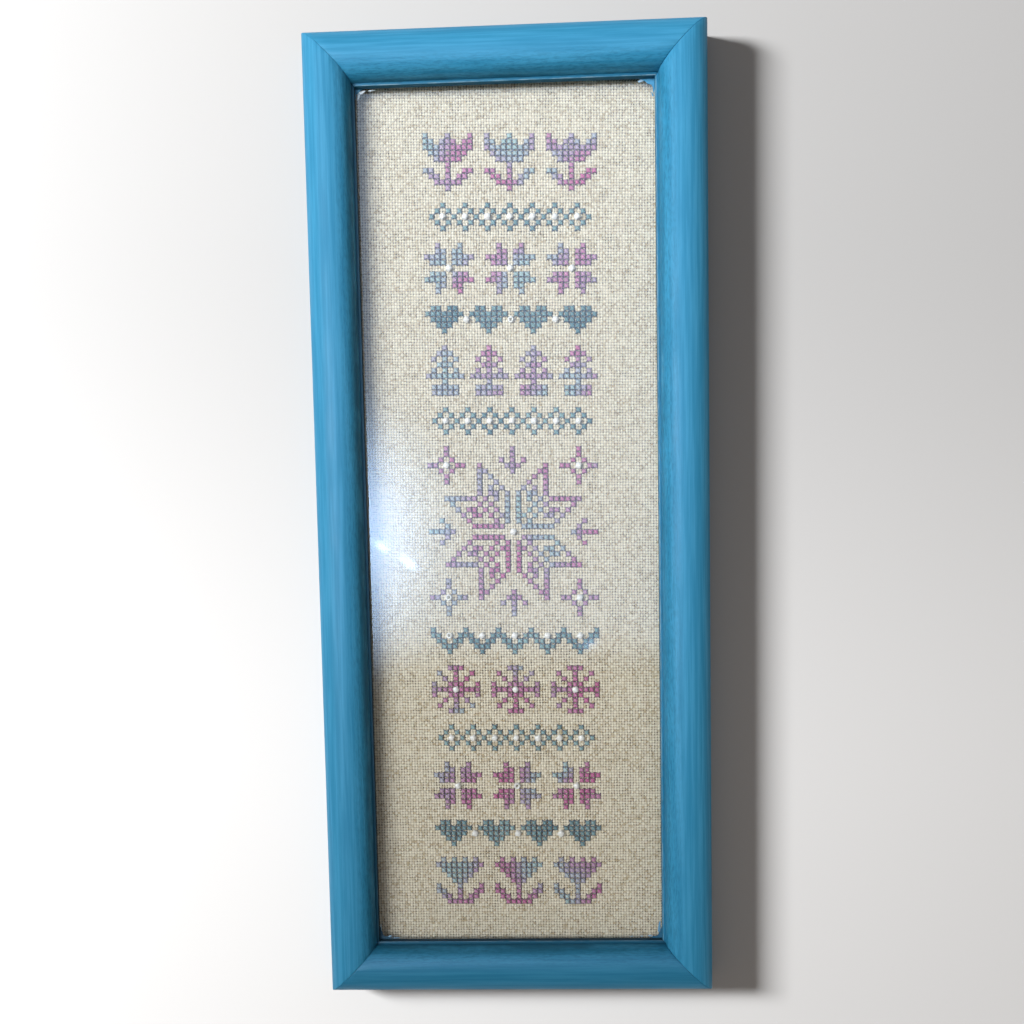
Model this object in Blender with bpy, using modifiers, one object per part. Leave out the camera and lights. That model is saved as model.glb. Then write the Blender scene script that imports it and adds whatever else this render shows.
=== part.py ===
"""A framed cross stitch sampler, lying face up on its back.

Four mitred lengths of a domed wooden moulding hold, from the front to the back, a pane of glass, the
stitched linen laid flat, and a plain backing card. X runs across the frame, Y up the sampler and Z out
of its face. The origin is at the middle of the frame's back.
"""

import math

import bmesh
import bpy
from mathutils import Matrix, Vector

# The opening, counted in threads of the linen: 28 threads an inch, and one stitch over two threads
THREAD = 0.0254 / 28
OPENING_WIDTH = 104.7 * THREAD
OPENING_LENGTH = 306.7 * THREAD

# The moulding's section: how far in from the outer wall, and how high above the back
RAIL_WIDTH = 0.0163
SHOULDER_HEIGHT = 0.0074
CROWN_HEIGHT = 0.0144
DOME_INNER_HEIGHT = 0.0086
DOME_STEPS = 28
LIP_WIDTH = 0.0009
LIP_STEP = 0.0005
LIP_UNDERSIDE = 0.0063
LIP_SOFTENING = 0.0002
REBATE_WIDTH = 0.0055

# What the rebate holds, from the front to the back. The beads stand in the room between glass and linen
GAP = 0.0003
GLASS_THICKNESS = 0.0020
GLASS_ARRIS = 0.0002
BEAD_ROOM = 0.0013
LINEN_THICKNESS = 0.0010
CARD_THICKNESS = 0.0011

OUTER_WIDTH = OPENING_WIDTH + 2 * RAIL_WIDTH
OUTER_LENGTH = OPENING_LENGTH + 2 * RAIL_WIDTH
INSERT_WIDTH = OPENING_WIDTH + 2 * (REBATE_WIDTH - GAP)
INSERT_LENGTH = OPENING_LENGTH + 2 * (REBATE_WIDTH - GAP)

# The side of the block that cuts a mitre, wider and taller than the moulding
CUTTER_SIZE = 3 * RAIL_WIDTH

# Edges that turn more than this are left sharp
SHARP_ANGLE = math.radians(35)

# Vertices closer than this are one vertex
WELD_DISTANCE = 0.000001

# Linear colours, roughness and metallic value of each material
FINISHES = {
    "blue_paint": ((0.055, 0.300, 0.520, 1.0), 0.42, 0.0),
    "clear_glass": ((0.900, 0.950, 0.950, 0.35), 0.03, 0.0),
    "unbleached_linen": ((0.640, 0.600, 0.520, 1.0), 0.90, 0.0),
    "grey_card": ((0.420, 0.370, 0.300, 1.0), 0.85, 0.0),
}


def clear_scene():
    """Removes whatever the scene holds at the start."""
    for existing in list(bpy.data.objects):
        bpy.data.objects.remove(existing, do_unlink=True)


def new_collection(name, hidden=False):
    """A collection under the scene's own, left out of a render if hidden."""
    collection = bpy.data.collections.new(name)
    collection.hide_render = hidden
    bpy.context.scene.collection.children.link(collection)
    return collection


def new_material(name):
    """A Principled material with the colour, roughness and metallic value listed for it."""
    colour, roughness, metallic = FINISHES[name]
    material = bpy.data.materials.new(name)
    material.use_nodes = True
    shader = material.node_tree.nodes["Principled BSDF"]
    shader.inputs["Base Color"].default_value = colour
    shader.inputs["Roughness"].default_value = roughness
    shader.inputs["Metallic"].default_value = metallic
    shader.inputs["Alpha"].default_value = colour[3]
    return material


def moulding_section():
    """The moulding's outline as (inward, height) points, clockwise from the foot of the outer wall."""
    half_dome = (RAIL_WIDTH - LIP_WIDTH) / 2
    middle = (SHOULDER_HEIGHT + DOME_INNER_HEIGHT) / 2
    points = [(0.0, 0.0)]
    for step in range(DOME_STEPS + 1):
        angle = math.pi * step / DOME_STEPS
        inward = half_dome * (1 - math.cos(angle))
        chord = SHOULDER_HEIGHT + (DOME_INNER_HEIGHT - SHOULDER_HEIGHT) * inward / (2 * half_dome)
        points.append((inward, chord + (CROWN_HEIGHT - middle) * math.sin(angle)))
    lip_top = DOME_INNER_HEIGHT - LIP_STEP
    points += [
        (RAIL_WIDTH - LIP_WIDTH, lip_top),
        (RAIL_WIDTH - LIP_SOFTENING, lip_top),
        (RAIL_WIDTH, lip_top - LIP_SOFTENING),
        (RAIL_WIDTH, LIP_UNDERSIDE),
        (RAIL_WIDTH - REBATE_WIDTH, LIP_UNDERSIDE),
        (RAIL_WIDTH - REBATE_WIDTH, 0.0),
    ]
    return points


def moulding_length(name, length, collection):
    """A straight length of moulding along Y, square at its ends, with its outer wall on X = 0."""
    curve = bpy.data.curves.new(name, "CURVE")
    curve.dimensions = "2D"
    curve.fill_mode = "BOTH"
    curve.extrude = length / 2
    section = moulding_section()
    spline = curve.splines.new("POLY")
    spline.points.add(len(section) - 1)
    for point, (inward, height) in zip(spline.points, section):
        point.co = (-inward, height, 0.0, 1.0)
    spline.use_cyclic_u = True
    run = bpy.data.objects.new(name, curve)
    run.rotation_euler = (math.radians(90), 0, 0)
    collection.objects.link(run)
    return as_mesh(run, collection)


def as_mesh(source, collection):
    """Turns a curve object into a mesh object at the same place, with its caps welded on."""
    bpy.context.view_layer.update()
    graph = bpy.context.evaluated_depsgraph_get()
    mesh = bpy.data.meshes.new_from_object(source.evaluated_get(graph))
    name, place = source.name, source.matrix_world.copy()
    bpy.data.objects.remove(source, do_unlink=True)
    solid = bmesh.new()
    solid.from_mesh(mesh)
    bmesh.ops.remove_doubles(solid, verts=solid.verts, dist=WELD_DISTANCE)
    bmesh.ops.transform(solid, matrix=place, verts=solid.verts)
    bmesh.ops.recalc_face_normals(solid, faces=solid.faces)
    solid.to_mesh(mesh)
    solid.free()
    made = bpy.data.objects.new(name, mesh)
    collection.objects.link(made)
    return made


def mitre_cutter(name, end, length, cutters):
    """A block that takes off one end of a rail along the 45 degree plane through its outer corner."""
    side = CUTTER_SIZE
    bpy.ops.mesh.primitive_cube_add(size=side)
    block = bpy.context.object
    block.name = name
    # The face that cuts lies half a gap short of the joint, so that two rails stay apart
    joint = Vector((-RAIL_WIDTH / 2, end * (length - RAIL_WIDTH) / 2, RAIL_WIDTH / 2))
    outward = Vector((-1, end, 0)).normalized()
    block.data.transform(Matrix.Rotation(math.radians(45), 4, "Z"))
    block.location = joint + outward * (side - GAP) / 2
    for holder in list(block.users_collection):
        holder.objects.unlink(block)
    cutters.objects.link(block)
    block.hide_render = True
    block.display_type = "WIRE"
    return block


def add_rail(name, length, reach, turn, parts, cutters, material):
    """One mitred rail: moulding cut at both ends, turned about Z and set at its side of the frame."""
    rail = moulding_length(name, length + RAIL_WIDTH, parts)
    rail.data.materials.append(material)
    rail.data.shade_smooth()
    rail.data.set_sharp_from_angle(angle=SHARP_ANGLE)
    holder = bpy.data.objects.new(name + "_place", None)
    parts.objects.link(holder)
    rail.parent = holder
    for end, word in ((1, "first"), (-1, "second")):
        block = mitre_cutter(f"{name}_{word}_mitre", end, length, cutters)
        block.parent = holder
        cut = rail.modifiers.new(word + " mitre", "BOOLEAN")
        cut.operation = "DIFFERENCE"
        cut.solver = "EXACT"
        cut.object = block
    holder.rotation_euler = (0, 0, math.radians(turn))
    holder.location = Matrix.Rotation(math.radians(turn), 3, "Z") @ Vector((reach, 0, 0))
    return rail


def add_layer(name, size, top, arris, parts, material):
    """A flat rectangular layer, sized (width, length, thickness), with its top face at that height."""
    width, length, thickness = size
    bpy.ops.mesh.primitive_cube_add(size=1)
    layer = bpy.context.object
    layer.name = name
    layer.data.transform(Matrix.Diagonal((width, length, thickness, 1)))
    layer.location = (0, 0, top - thickness / 2)
    for holder in list(layer.users_collection):
        holder.objects.unlink(layer)
    parts.objects.link(layer)
    layer.data.materials.append(material)
    if arris:
        bevel = layer.modifiers.new("ground edges", "BEVEL")
        bevel.width = arris
        bevel.segments = 1
    return layer


def build():
    """Makes the frame's four rails and the three layers that they hold."""
    clear_scene()
    parts = new_collection("framed_sampler")
    cutters = new_collection("mitre_cutters", hidden=True)
    paint = new_material("blue_paint")
    rails = (
        ("rail_right", OUTER_LENGTH, OUTER_WIDTH / 2, 0),
        ("rail_top", OUTER_WIDTH, OUTER_LENGTH / 2, 90),
        ("rail_left", OUTER_LENGTH, OUTER_WIDTH / 2, 180),
        ("rail_bottom", OUTER_WIDTH, OUTER_LENGTH / 2, 270),
    )
    for name, length, reach, turn in rails:
        add_rail(name, length, reach, turn, parts, cutters, paint)
    layers = (
        ("glass_pane", GAP, GLASS_THICKNESS, GLASS_ARRIS, "clear_glass"),
        ("stitched_linen", BEAD_ROOM, LINEN_THICKNESS, 0, "unbleached_linen"),
        ("backing_card", GAP, CARD_THICKNESS, 0, "grey_card"),
    )
    above = LIP_UNDERSIDE
    for name, space, thickness, arris, finish in layers:
        size = (INSERT_WIDTH, INSERT_LENGTH, thickness)
        add_layer(name, size, above - space, arris, parts, new_material(finish))
        above -= space + thickness


build()
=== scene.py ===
"""Dresses the framed cross stitch sampler: painted moulding, glass, woven linen, stitches and beads.

The sampler lies face up. X runs across the frame, Y up the sampler and Z out of its face, in metres.
"""

import logging
import math
from collections.abc import Iterator
from contextlib import contextmanager
from dataclasses import dataclass, field
from enum import Enum

import bpy
import numpy as np
from mathutils import Euler, Matrix, Vector


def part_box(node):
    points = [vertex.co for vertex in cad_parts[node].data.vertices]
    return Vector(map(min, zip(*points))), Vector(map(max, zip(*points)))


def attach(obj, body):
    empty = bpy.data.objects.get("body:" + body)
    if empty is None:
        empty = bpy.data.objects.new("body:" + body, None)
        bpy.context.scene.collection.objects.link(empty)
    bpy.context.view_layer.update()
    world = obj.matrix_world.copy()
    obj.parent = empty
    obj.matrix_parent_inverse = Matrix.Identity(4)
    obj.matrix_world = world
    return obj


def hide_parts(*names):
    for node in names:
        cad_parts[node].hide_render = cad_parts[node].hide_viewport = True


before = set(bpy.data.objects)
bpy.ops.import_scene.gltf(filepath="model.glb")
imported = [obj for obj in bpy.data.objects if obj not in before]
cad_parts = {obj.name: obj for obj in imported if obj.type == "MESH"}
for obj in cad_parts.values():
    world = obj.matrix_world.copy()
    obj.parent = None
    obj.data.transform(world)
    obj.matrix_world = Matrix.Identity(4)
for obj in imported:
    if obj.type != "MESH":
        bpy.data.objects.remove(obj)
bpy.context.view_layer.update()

log = logging.getLogger("sampler")

MM = 0.001

# How far the stitches stand above the middle of the weave, and the paint smears above the glass
STITCH_CLEARANCE = 0.05 * MM
SMEAR_CLEARANCE = 0.02 * MM

Colour = tuple[float, float, float]
Triple = tuple[float, float, float]


class Side(Enum):
    """A side of the frame, as quarter turns from the right-hand rail."""

    RIGHT = 0
    TOP = 1
    LEFT = 2
    BOTTOM = 3

    @property
    def turn(self) -> Matrix:
        """The turn that takes the right-hand side to this one."""
        return Matrix.Rotation(math.radians(90 * self.value), 4, "Z")

    @property
    def rail(self) -> str:
        """The name of the rail on this side."""
        return "rail_" + self.name.lower()


class ThreadSet(Enum):
    """The two sets of threads of a woven cloth."""

    WARP = "warp"
    WEFT = "weft"

    @property
    def other(self) -> "ThreadSet":
        """The set that this one crosses."""
        return ThreadSet.WEFT if self is ThreadSet.WARP else ThreadSet.WARP

    @property
    def way(self) -> int:
        """Whether an even thread of this set starts over the other set, as 1, or under it, as -1."""
        return 1 if self is ThreadSet.WARP else -1


class Floss(Enum):
    """The embroidery threads, by the letter that stands for each in a chart."""

    HAND_DYED = "x"
    TEAL = "t"


def linear(red: int, green: int, blue: int) -> Colour:
    """A screen colour from 0 to 255 as a linear one."""
    return tuple(((c / 255 + 0.055) / 1.055) ** 2.4 if c > 10 else c / 3294.6 for c in (red, green, blue))


def deselect() -> None:
    """Deselects everything."""
    bpy.ops.object.select_all(action="DESELECT")


def only(piece: bpy.types.Object) -> None:
    """Makes this piece the one that is selected and active."""
    deselect()
    piece.select_set(True)
    bpy.context.view_layer.objects.active = piece


def apply_modifier(piece: bpy.types.Object, kind: str, **settings: object) -> None:
    """Adds a modifier with these settings and applies it.

    Args:
        piece: The object that gets the modifier.
        kind: Blender's name for the kind of modifier.
        settings: The modifier's own settings.
    """
    only(piece)
    modifier = piece.modifiers.new(kind.lower(), kind)
    for name, value in settings.items():
        setattr(modifier, name, value)
    bpy.ops.object.modifier_apply(modifier=modifier.name)


@contextmanager
def edit_mode() -> Iterator[None]:
    """Shapes the active piece in edit mode, with all of it selected at the start."""
    bpy.ops.object.mode_set(mode="EDIT")
    bpy.ops.mesh.select_all(action="SELECT")
    yield
    bpy.ops.object.mode_set(mode="OBJECT")


def face_outwards() -> None:
    """Turns every face of the piece that is in edit mode outwards."""
    bpy.ops.mesh.select_all(action="SELECT")
    bpy.ops.mesh.normals_make_consistent(inside=False)


def join(pieces: list[bpy.types.Object], name: str) -> bpy.types.Object:
    """Joins pieces into one.

    Args:
        pieces: The pieces. The first of them takes in the others.
        name: The joined piece's name.

    Returns:
        The joined piece, selected and active.
    """
    only(pieces[0])
    for piece in pieces[1:]:
        piece.select_set(True)
    bpy.ops.object.join()
    pieces[0].name = name
    return pieces[0]


def finish_with(piece: bpy.types.Object, material: bpy.types.Material) -> None:
    """Gives a piece this material and no other."""
    piece.data.materials.clear()
    piece.data.materials.append(material)


def report(piece: bpy.types.Object) -> None:
    """Logs a finished piece."""
    log.info("%s: %d faces", piece.name, len(piece.data.polygons))


def points_of(mesh: bpy.types.Mesh) -> np.ndarray:
    """The mesh's vertices as rows of X, Y and Z."""
    flat = np.empty(len(mesh.vertices) * 3, np.float32)
    mesh.vertices.foreach_get("co", flat)
    return flat.reshape(-1, 3).astype(np.float64)


def set_points(mesh: bpy.types.Mesh, points: np.ndarray) -> None:
    """Moves the mesh's vertices to these rows of X, Y and Z."""
    mesh.vertices.foreach_set("co", points.astype(np.float32).ravel())
    mesh.update()


def store(mesh: bpy.types.Mesh, name: str, values: np.ndarray) -> None:
    """Keeps one number, or one row of three, for each vertex under a name that materials read."""
    kind, key = ("FLOAT", "value") if values.ndim == 1 else ("FLOAT_VECTOR", "vector")
    mesh.attributes.new(name, kind, "POINT").data.foreach_set(key, values.astype(np.float32).ravel())


def ripple(place: np.ndarray, lines: np.ndarray, wavelength: float, seed: int) -> np.ndarray:
    """A smooth uneven number from about -1 to 1 along each of many lines, unlike on every line.

    Args:
        place: How far along its line each point is.
        lines: The number of each point's line.
        wavelength: The usual length of a swell, in the units of place.
        seed: Picks one pattern of many.

    Returns:
        The number for each point.
    """
    dice = np.random.RandomState(seed)
    count = int(lines.max()) + 1
    total = np.zeros(len(place))
    for share, stretch in ((0.55, 1.0), (0.35, 0.43), (0.25, 0.21)):
        phase = dice.uniform(0, 2 * math.pi, count)
        pace = dice.uniform(0.7, 1.3, count) * 2 * math.pi / (wavelength * stretch)
        total += share * np.sin(place * pace[lines] + phase[lines])
    return total


class NodeSketch:
    """Lays out one material's nodes and joins them up."""

    def __init__(self, name: str) -> None:
        """Starts a new material that holds a Principled shader and its output.

        Args:
            name: The material's name.
        """
        self.material = bpy.data.materials.new(name)
        self.material.use_nodes = True
        self.tree = self.material.node_tree
        self.shader = self.tree.nodes["Principled BSDF"]

    def node(self, kind: str, inputs: dict | None = None, **settings: object) -> bpy.types.Node:
        """Adds a node.

        Args:
            kind: The end of the node's type name, after ShaderNode.
            inputs: Values, or other nodes' outputs, by socket name or number.
            settings: The node's own settings.

        Returns:
            The new node.
        """
        made = self.tree.nodes.new("ShaderNode" + kind)
        for name, value in settings.items():
            setattr(made, name, value)
        for name, value in (inputs or {}).items():
            self.feed(made.inputs[name], value)
        return made

    def feed(self, socket: bpy.types.NodeSocket, value: object) -> None:
        """Sets a socket, or joins another node's output to it.

        Args:
            socket: The socket.
            value: A number, a row of three, a colour without its alpha, or another node's output.
        """
        if isinstance(value, bpy.types.NodeSocket):
            self.tree.links.new(value, socket)
        else:
            socket.default_value = (*value, 1.0) if socket.type == "RGBA" else value

    def attribute(self, name: str, output: str = "Fac") -> bpy.types.NodeSocket:
        """What the mesh keeps under a name: a number, or a row of three from the output Vector."""
        return self.node("Attribute", attribute_name=name).outputs[output]

    def own_place(self) -> bpy.types.NodeSocket:
        """The object's own coordinates."""
        return self.node("TexCoord").outputs["Object"]

    def place(self, scale: Triple = (1.0, 1.0, 1.0), attribute: str = "") -> bpy.types.NodeSocket:
        """Coordinates stretched by a scale: the object's own, or those kept in an attribute."""
        source = self.attribute(attribute, "Vector") if attribute else self.own_place()
        return self.node("Mapping", {"Vector": source, "Scale": scale}).outputs["Vector"]

    def parts(self, vector: bpy.types.NodeSocket) -> bpy.types.bpy_prop_collection:
        """The X, Y and Z of a vector, by those letters."""
        return self.node("SeparateXYZ", {"Vector": vector}).outputs

    def noise(self, vector: bpy.types.NodeSocket, scale: float, detail: float = 3.0,
              roughness: float = 0.55) -> bpy.types.NodeSocket:
        """A noise pattern from 0 to 1 at these coordinates."""
        inputs = {"Vector": vector, "Scale": scale, "Detail": detail, "Roughness": roughness}
        return self.node("TexNoise", inputs).outputs["Fac"]

    def span(self, value: bpy.types.NodeSocket, low: float, high: float, to_low: float = 0.0,
             to_high: float = 1.0) -> bpy.types.NodeSocket:
        """Maps low to high onto another span, and holds it inside."""
        inputs = {"Value": value, "From Min": low, "From Max": high, "To Min": to_low, "To Max": to_high}
        return self.node("MapRange", inputs, interpolation_type="SMOOTHSTEP").outputs["Result"]

    def maths(self, operation: str, first: object, second: object = 0.0) -> bpy.types.NodeSocket:
        """One arithmetic step with a number, or between two."""
        return self.node("Math", {0: first, 1: second}, operation=operation).outputs["Value"]

    def mix(self, factor: object, first: object, second: object, blend: str = "MIX") -> bpy.types.NodeSocket:
        """Blends two colours.

        Args:
            factor: How much of the second one shows, from 0 to 1.
            first: A colour.
            second: The colour over it.
            blend: Blender's name for the way that they blend.

        Returns:
            The blended colour.
        """
        made = self.node("Mix", data_type="RGBA", blend_type=blend)
        sockets = {socket.identifier: socket for socket in made.inputs}
        for name, value in (("Factor_Float", factor), ("A_Color", first), ("B_Color", second)):
            self.feed(sockets[name], value)
        return next(socket for socket in made.outputs if socket.identifier == "Result_Color")

    def ramp(self, value: bpy.types.NodeSocket, stops: list[tuple[float, Colour]]) -> bpy.types.NodeSocket:
        """Picks a colour by a number.

        Args:
            value: The number, from 0 to 1.
            stops: The colours, each after the number that it stands for.

        Returns:
            The colour.
        """
        made = self.node("ValToRGB", {"Fac": value})
        elements = made.color_ramp.elements
        while len(elements) < len(stops):
            elements.new(0.5)
        for element, (position, colour) in zip(elements, stops):
            element.position = position
            element.color = (*colour, 1.0)
        return made.outputs["Color"]

    def bump(self, height: bpy.types.NodeSocket, distance: float, strength: float,
             before: bpy.types.NodeSocket | None = None) -> bpy.types.NodeSocket:
        """Makes fine relief that is too small to model.

        Args:
            height: The pattern that stands for height.
            distance: How high it stands, in metres.
            strength: How much of it shows, from 0 to 1.
            before: Other relief that this one is laid over.

        Returns:
            The relief, as a shader reads it.
        """
        inputs = {"Height": height, "Distance": distance, "Strength": strength}
        if before is not None:
            inputs["Normal"] = before
        return self.node("Bump", inputs).outputs["Normal"]

    def finish(self, **inputs: object) -> bpy.types.Material:
        """Sets the shader's sockets and ends the sketch.

        Args:
            inputs: Values, or nodes' outputs, by socket name with underscores for spaces.

        Returns:
            The material.
        """
        for name, value in inputs.items():
            self.feed(self.shader.inputs[name.replace("_", " ")], value)
        return self.material


@dataclass(frozen=True)
class Coat:
    """How one rail is painted: how dark by its lip, from pooled paint and painted shade, how pale on its
    edge, from wear and a painted highlight, and how much painted shade darkens its whole coat.
    """

    pooling_and_shade: float
    wear_and_glint: float
    depth: float


# By side: the left and bottom rails get more dark paint by the lip and the bottom one a darker coat, as
# painted shade; the top and right rails get a paler edge, as wear and painted highlight.
COATS = {
    Side.RIGHT: Coat(0.35, 0.60, 0.0),
    Side.TOP: Coat(0.50, 0.65, 0.0),
    Side.LEFT: Coat(0.90, 0.10, 0.04),
    Side.BOTTOM: Coat(0.90, 0.20, 0.36),
}


@dataclass(frozen=True)
class BrushedPaint:
    """Satin blue paint, brushed along each rail, darker by the lip from pooled paint and painted shade,
    near-black on the lip's wall as painted shade, and pale on the lip's edge from wear and a painted
    highlight.

    The lengths say how far in from the rail's outer wall a place lies. A grain gives how closely packed a
    pattern is along the rail, across it and up it.
    """

    body: Colour = linear(42, 131, 170)
    thin: Colour = linear(70, 158, 198)
    pooled_and_shaded: Colour = linear(10, 72, 94)
    # Painted shade for the lip's wall.
    wall_shade: Colour = linear(12, 38, 48)
    worn_and_glint: Colour = linear(140, 168, 180)
    roughness: float = 0.48
    slope_start: float = 9.0 * MM
    slope_end: float = 14.5 * MM
    pool_shade_start: float = 13.2 * MM
    pool_shade_end: float = 15.2 * MM
    lip_start: float = 15.45 * MM
    lip_edge: float = 16.14 * MM
    edge_width: float = 0.22 * MM
    wall: float = 16.30 * MM
    streak_grain: Triple = (28.0, 900.0, 700.0)
    patch_grain: Triple = (60.0, 160.0, 160.0)
    pit_grain: Triple = (420.0, 2500.0, 2300.0)
    scuff_grain: Triple = (140.0, 900.0, 900.0)
    orange_peel: float = 2400.0

    def pattern(self, sketch: NodeSketch, grain: Triple, detail: float = 4.0,
                roughness: float = 0.6) -> bpy.types.NodeSocket:
        """A noise pattern that runs along the rail."""
        return sketch.noise(sketch.place(grain, "rail_place"), 1.0, detail, roughness)

    def pitting(self, sketch: NodeSketch, inward: bpy.types.NodeSocket,
                pits: bpy.types.NodeSocket) -> bpy.types.NodeSocket:
        """How far darker paint fills the pores on the slope down to the lip."""
        slope = sketch.span(inward, self.slope_start, self.slope_end, 0.02, 0.36)
        return sketch.maths("MULTIPLY", slope, sketch.span(pits, 0.40, 0.68))

    def pooling_and_shade(self, sketch: NodeSketch, inward: bpy.types.NodeSocket,
                patches: bpy.types.NodeSocket) -> bpy.types.NodeSocket:
        """Finds where the paint is darkened by the lip: in patches of thick paint with painted shade, and
        evenly on the lip itself as painted shade.

        Args:
            sketch: The material's sketch.
            inward: How far in each point is.
            patches: The pattern of the patches.

        Returns:
            How far the paint is darkened, by pooling and painted shade, from 0 to 1.
        """
        patchy = sketch.span(patches, 0.35, 0.6, 0.3, 0.8)
        near = sketch.maths("MULTIPLY", sketch.span(inward, self.pool_shade_start, self.pool_shade_end), patchy)
        return sketch.maths("MAXIMUM", near, sketch.span(inward, self.lip_start - 0.1 * MM, self.lip_start))

    def scuff_and_glint(self, sketch: NodeSketch, inward: bpy.types.NodeSocket,
                 scuffs: bpy.types.NodeSocket) -> bpy.types.NodeSocket:
        """Finds where the lip's edge is paled, by scuffs and a painted highlight.

        Args:
            sketch: The material's sketch.
            inward: How far in each point is.
            scuffs: The pattern of the scuffs.

        Returns:
            How far the edge is paled, by wear and a painted highlight, from 0 to 1.
        """
        from_edge = sketch.maths("ABSOLUTE", sketch.maths("SUBTRACT", inward, self.lip_edge))
        at_edge = sketch.maths("LESS_THAN", from_edge, self.edge_width / 2)
        return sketch.maths("MULTIPLY", at_edge, sketch.span(scuffs, 0.40, 0.60, 0.1, 1.0))

    def material(self) -> bpy.types.Material:
        """Builds the material, which reads how far along and how far in each point of a rail is.

        Returns:
            The material.
        """
        sketch = NodeSketch("brushed_blue_paint")
        streaks = self.pattern(sketch, self.streak_grain)
        patches = self.pattern(sketch, self.patch_grain)
        pits = self.pattern(sketch, self.pit_grain, detail=2.0)
        scuffs = self.pattern(sketch, self.scuff_grain, roughness=0.7)
        inward = sketch.parts(sketch.attribute("rail_place", "Vector"))["Y"]
        coat = sketch.parts(sketch.attribute("coat", "Vector"))
        colour = sketch.mix(sketch.span(streaks, 0.34, 0.7, 0.0, 0.6), self.body, self.thin)
        # Painted shade: the bottom rail's whole coat is darkened.
        colour = sketch.mix(coat["Z"], colour, self.pooled_and_shaded)
        colour = sketch.mix(self.pitting(sketch, inward, pits), colour, self.pooled_and_shaded)
        # By the lip: pooled paint, and painted shade that is stronger on the left and bottom rails.
        pooled_and_shaded = sketch.maths("MULTIPLY", self.pooling_and_shade(sketch, inward, patches), coat["X"])
        colour = sketch.mix(pooled_and_shaded, colour, self.pooled_and_shaded)
        # The lip's wall is painted almost black, as painted shade.
        on_wall = sketch.span(inward, self.wall - 0.04 * MM, self.wall - 0.01 * MM)
        colour = sketch.mix(sketch.maths("MULTIPLY", on_wall, coat["X"]), colour, self.wall_shade)
        # The lip's edge: pale from wear and as a painted highlight, by side.
        scuffed_and_lit = sketch.maths("MULTIPLY", self.scuff_and_glint(sketch, inward, scuffs), coat["Y"])
        colour = sketch.mix(scuffed_and_lit, colour, self.worn_and_glint)
        relief = sketch.bump(streaks, 0.12 * MM, 0.35)
        relief = sketch.bump(pits, 0.03 * MM, 0.2, relief)
        relief = sketch.bump(sketch.noise(sketch.place(), self.orange_peel, 2.0), 0.03 * MM, 0.25, relief)
        shine = sketch.span(patches, 0.3, 0.7, self.roughness - 0.05, self.roughness + 0.08)
        return sketch.finish(Base_Color=colour, Roughness=shine, Normal=relief, Specular_IOR_Level=0.16)


@dataclass(frozen=True)
class BareWood:
    """The unpainted pale softwood at the back of the moulding."""

    early: Colour = linear(214, 184, 142)
    late: Colour = linear(176, 136, 92)

    def material(self) -> bpy.types.Material:
        """Builds the material, with its grain along the rail.

        Returns:
            The material.
        """
        sketch = NodeSketch("bare_softwood")
        grain = sketch.noise(sketch.place((9.0, 420.0, 420.0), "rail_place"), 1.0, 5.0, 0.6)
        fibres = sketch.noise(sketch.place((60.0, 4000.0, 4000.0), "rail_place"), 1.0, 2.0)
        colour = sketch.mix(sketch.span(grain, 0.35, 0.7), self.early, self.late)
        colour = sketch.mix(sketch.span(fibres, 0.4, 0.8, 0.0, 0.3), colour, self.late)
        return sketch.finish(Base_Color=colour, Roughness=0.75, Normal=sketch.bump(fibres, 0.05 * MM, 0.4))


@dataclass(frozen=True)
class PictureGlass:
    """Clear picture glass."""

    tint: Colour = (0.985, 0.995, 0.99)

    def material(self) -> bpy.types.Material:
        """Builds the material, with faint smears that only change how sharply it reflects.

        Returns:
            The material.
        """
        sketch = NodeSketch("picture_glass")
        smears = sketch.noise(sketch.place(), 30.0, 4.0)
        return sketch.finish(Base_Color=self.tint, Transmission_Weight=1.0, IOR=1.5,
                             Roughness=sketch.span(smears, 0.35, 0.75, 0.0, 0.02))


@dataclass(frozen=True)
class LinenThread:
    """Unbleached linen yarn, uneven in tone from thread to thread."""

    pale: Colour = linear(255, 248, 225)
    dark: Colour = linear(206, 185, 144)
    crevice_shade: Colour = linear(124, 116, 96)
    warp_fibres: Triple = (9000.0, 1500.0, 4000.0)
    weft_fibres: Triple = (1500.0, 9000.0, 4000.0)
    patches: Triple = (420.0, 300.0, 0.0)

    def material(self, threads: ThreadSet) -> bpy.types.Material:
        """Builds the material for one set of threads, with its fibres along them.

        Args:
            threads: The set.

        Returns:
            The material.
        """
        sketch = NodeSketch(f"linen_{threads.value}_yarn")
        stretch = self.warp_fibres if threads is ThreadSet.WARP else self.weft_fibres
        fibres = sketch.noise(sketch.place(stretch), 1.0, 2.0)
        patches = sketch.noise(sketch.place(self.patches), 1.0, 3.0, 0.6)
        colour = sketch.mix(sketch.span(sketch.attribute("tone"), 0.0, 1.0), self.dark, self.pale)
        colour = sketch.mix(sketch.span(fibres, 0.35, 0.8, 0.0, 0.22), colour, self.dark)
        colour = sketch.mix(sketch.span(patches, 0.42, 0.70, 0.0, 0.26), colour, self.dark)
        # Painted shade at each yarn's sides and where it dips under the other set.
        tucked = sketch.maths("MULTIPLY", sketch.attribute("tucked"), 0.62)
        colour = sketch.mix(tucked, colour, self.crevice_shade)
        return sketch.finish(Base_Color=colour, Roughness=0.85, Sheen_Weight=0.15,
                             Normal=sketch.bump(fibres, 0.04 * MM, 0.5))


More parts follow.
